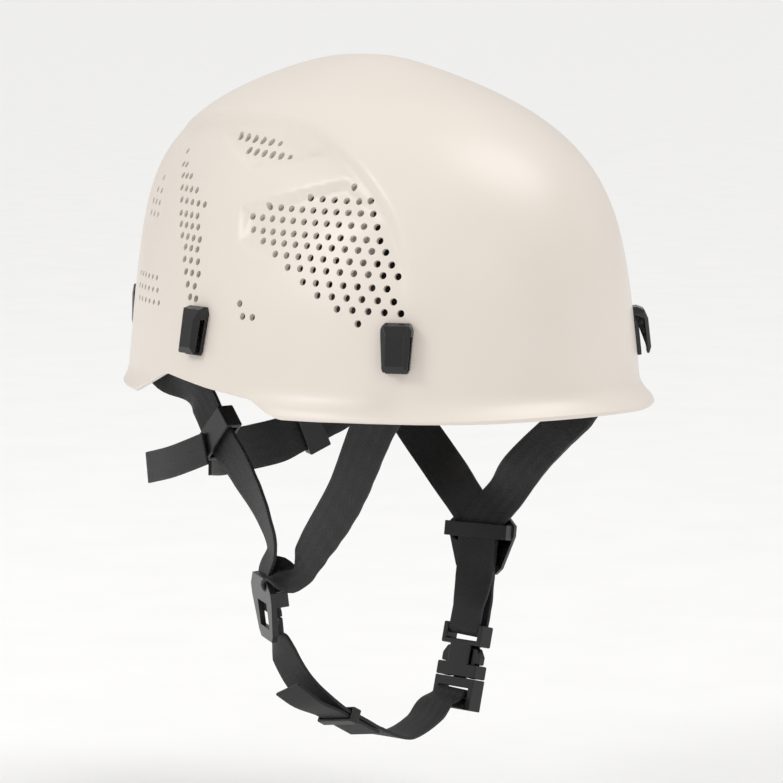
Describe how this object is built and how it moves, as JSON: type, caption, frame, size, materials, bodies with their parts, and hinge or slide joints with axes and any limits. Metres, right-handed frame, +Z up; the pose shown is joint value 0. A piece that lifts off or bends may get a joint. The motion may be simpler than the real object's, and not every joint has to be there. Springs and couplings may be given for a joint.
{
  "type": "climbing helmet",
  "caption": "Hard-shell climbing helmet with perforated vent panels, a webbing cradle, lamp clips and an adjustable chin harness with a side-release buckle.",
  "frame": {"origin": "centre of the head opening, in the plane that the headband sits just above, where the shell's front and rear halves meet", "axes": "+Z up towards the crown, -Y towards the wearer's front, +X towards the wearer's left"},
  "size_m": [0.219, 0.2838, 0.3163],
  "materials": {
    "shell": "satin moulded plastic",
    "clip_plastic": "semi-gloss moulded plastic",
    "hardware_plastic": "satin moulded plastic",
    "band_plastic": "fine-textured moulded plastic",
    "webbing": "woven polyester webbing",
    "pad_fabric": "brushed fabric over foam",
    "screw_steel": "plain"
  },
  "bodies": {
    "helmet": {"shell": "shell", "anchor_screws": "screw_steel", "cradle_strap_front_right": "webbing", "cradle_strap_front_left": "webbing", "cradle_strap_side": "webbing", "crown_pad": "pad_fabric", "headband": "band_plastic", "brow_pad": "pad_fabric", "temple_pad_right": "pad_fabric", "temple_pad_left": "pad_fabric", "nape_pad": "pad_fabric", "headband_hangers": "band_plastic", "yoke_strap_front_right": "webbing", "yoke_strap_rear_right": "webbing", "yoke_strap_front_left": "webbing", "yoke_strap_rear_left": "webbing", "strap_divider_right": "hardware_plastic", "strap_divider_left": "hardware_plastic", "chin_strap": "webbing", "chin_strap_tail": "webbing", "nape_band": "webbing", "nape_band_tail": "webbing", "rear_adjuster_right": "hardware_plastic", "buckle_socket": "hardware_plastic", "lamp_clip_front_right": "clip_plastic", "lamp_clip_side_right": "clip_plastic", "lamp_clip_rear_right": "clip_plastic", "lamp_clip_front_left": "clip_plastic", "lamp_clip_side_left": "clip_plastic", "lamp_clip_rear_left": "clip_plastic", "strap_anchor_front_right": "hardware_plastic", "strap_anchor_side_right": "hardware_plastic", "strap_anchor_rear_right": "hardware_plastic", "strap_anchor_front_left": "hardware_plastic", "strap_anchor_side_left": "hardware_plastic", "strap_anchor_rear_left": "hardware_plastic"},
    "buckle_plug": {"buckle_plug": "hardware_plastic"},
    "buckle_prong_front": {"buckle_prong_front": "hardware_plastic"},
    "buckle_prong_rear": {"buckle_prong_rear": "hardware_plastic"},
    "chin_keeper": {"chin_keeper": "hardware_plastic"},
    "nape_lock": {"nape_lock": "hardware_plastic"}
  },
  "joints": [
    {"name": "buckle_release", "type": "slide", "parent": "helmet", "child": "buckle_plug", "axis": [-0.25, -0.05, -0.967], "range_m": [0, 0.026], "deforming": ["chin_strap", "buckle_prong_front", "buckle_prong_rear"]},
    {"name": "prong_front_press", "type": "slide", "parent": "buckle_plug", "child": "buckle_prong_front", "axis": [-0.078, 0.9965, -0.0314], "range_m": [0, 0.0031], "stiffness_N_per_m": 900},
    {"name": "prong_rear_press", "type": "slide", "parent": "buckle_plug", "child": "buckle_prong_rear", "axis": [0.078, -0.9965, 0.0314], "range_m": [0, 0.0031], "stiffness_N_per_m": 900},
    {"name": "chin_keeper_slide", "type": "slide", "parent": "helmet", "child": "chin_keeper", "axis": [0.8674, 0.004, -0.4976], "range_m": [-0.002, 0.012]},
    {"name": "nape_lock_slide", "type": "slide", "parent": "helmet", "child": "nape_lock", "axis": [-0.8899, 0.2, -0.41], "range_m": [-0.007, 0.007]}
  ]
}
